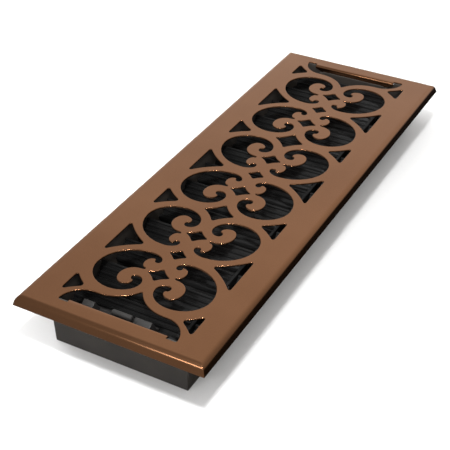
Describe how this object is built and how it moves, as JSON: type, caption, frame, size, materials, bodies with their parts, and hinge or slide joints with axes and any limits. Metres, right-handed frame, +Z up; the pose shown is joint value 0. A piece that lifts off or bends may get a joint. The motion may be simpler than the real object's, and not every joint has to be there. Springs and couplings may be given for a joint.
{
  "type": "floor register",
  "caption": "Floor register with a pierced scroll face, a drafted damper box and linked louvre blades that a thumb lever opens and closes.",
  "frame": {"origin": "centre of the damper box's open bottom", "axes": "+Z up through the face, Y along the length with the lever end at -Y, X across"},
  "size_m": [0.132, 0.38, 0.0364],
  "materials": {
    "face": "satin",
    "box": "matte",
    "blade": "matte",
    "link": "matte",
    "lever": "matte"
  },
  "bodies": {
    "register": {"faceplate": "face", "damper_box": "box"},
    "blade_01": {"blade_01": "blade", "lever": "lever"},
    "blade_02": {"blade_02": "blade"},
    "blade_03": {"blade_03": "blade"},
    "blade_04": {"blade_04": "blade"},
    "blade_05": {"blade_05": "blade"},
    "blade_06": {"blade_06": "blade"},
    "blade_07": {"blade_07": "blade"},
    "blade_08": {"blade_08": "blade"},
    "blade_09": {"blade_09": "blade"},
    "blade_10": {"blade_10": "blade"},
    "blade_11": {"blade_11": "blade"},
    "blade_12": {"blade_12": "blade"},
    "blade_13": {"blade_13": "blade"},
    "link": {"link_bar": "link"}
  },
  "joints": [
    {"name": "blade_01_hinge", "type": "hinge", "parent": "register", "child": "blade_01", "pos_m": [0, -0.15995, 0.018], "axis": [1, 0, 0], "range_deg": [-42, 0]},
    {"name": "blade_02_hinge", "type": "hinge", "parent": "register", "child": "blade_02", "pos_m": [0, -0.13329, 0.018], "axis": [1, 0, 0], "range_deg": [-42, 0]},
    {"name": "blade_03_hinge", "type": "hinge", "parent": "register", "child": "blade_03", "pos_m": [0, -0.10663, 0.018], "axis": [1, 0, 0], "range_deg": [-42, 0]},
    {"name": "blade_04_hinge", "type": "hinge", "parent": "register", "child": "blade_04", "pos_m": [0, -0.07997, 0.018], "axis": [1, 0, 0], "range_deg": [-42, 0]},
    {"name": "blade_05_hinge", "type": "hinge", "parent": "register", "child": "blade_05", "pos_m": [0, -0.05332, 0.018], "axis": [1, 0, 0], "range_deg": [-42, 0]},
    {"name": "blade_06_hinge", "type": "hinge", "parent": "register", "child": "blade_06", "pos_m": [0, -0.02666, 0.018], "axis": [1, 0, 0], "range_deg": [-42, 0]},
    {"name": "blade_07_hinge", "type": "hinge", "parent": "register", "child": "blade_07", "pos_m": [0, 0, 0.018], "axis": [1, 0, 0], "range_deg": [-42, 0]},
    {"name": "blade_08_hinge", "type": "hinge", "parent": "register", "child": "blade_08", "pos_m": [0, 0.02666, 0.018], "axis": [1, 0, 0], "range_deg": [-42, 0]},
    {"name": "blade_09_hinge", "type": "hinge", "parent": "register", "child": "blade_09", "pos_m": [0, 0.05332, 0.018], "axis": [1, 0, 0], "range_deg": [-42, 0]},
    {"name": "blade_10_hinge", "type": "hinge", "parent": "register", "child": "blade_10", "pos_m": [0, 0.07997, 0.018], "axis": [1, 0, 0], "range_deg": [-42, 0]},
    {"name": "blade_11_hinge", "type": "hinge", "parent": "register", "child": "blade_11", "pos_m": [0, 0.10663, 0.018], "axis": [1, 0, 0], "range_deg": [-42, 0]},
    {"name": "blade_12_hinge", "type": "hinge", "parent": "register", "child": "blade_12", "pos_m": [0, 0.13329, 0.018], "axis": [1, 0, 0], "range_deg": [-42, 0]},
    {"name": "blade_13_hinge", "type": "hinge", "parent": "register", "child": "blade_13", "pos_m": [0, 0.15995, 0.018], "axis": [1, 0, 0], "range_deg": [-42, 0]},
    {"name": "link_hinge", "type": "hinge", "parent": "blade_01", "child": "link", "pos_m": [0.0365, -0.16317, 0.0264], "axis": [1, 0, 0], "range_deg": [0, 42]}
  ],
  "couplings": [
    {"joint": "blade_02_hinge", "follows": "blade_01_hinge", "ratio": 1},
    {"joint": "blade_03_hinge", "follows": "blade_01_hinge", "ratio": 1},
    {"joint": "blade_04_hinge", "follows": "blade_01_hinge", "ratio": 1},
    {"joint": "blade_05_hinge", "follows": "blade_01_hinge", "ratio": 1},
    {"joint": "blade_06_hinge", "follows": "blade_01_hinge", "ratio": 1},
    {"joint": "blade_07_hinge", "follows": "blade_01_hinge", "ratio": 1},
    {"joint": "blade_08_hinge", "follows": "blade_01_hinge", "ratio": 1},
    {"joint": "blade_09_hinge", "follows": "blade_01_hinge", "ratio": 1},
    {"joint": "blade_10_hinge", "follows": "blade_01_hinge", "ratio": 1},
    {"joint": "blade_11_hinge", "follows": "blade_01_hinge", "ratio": 1},
    {"joint": "blade_12_hinge", "follows": "blade_01_hinge", "ratio": 1},
    {"joint": "blade_13_hinge", "follows": "blade_01_hinge", "ratio": 1},
    {"joint": "link_hinge", "follows": "blade_01_hinge", "ratio": -1}
  ]
}
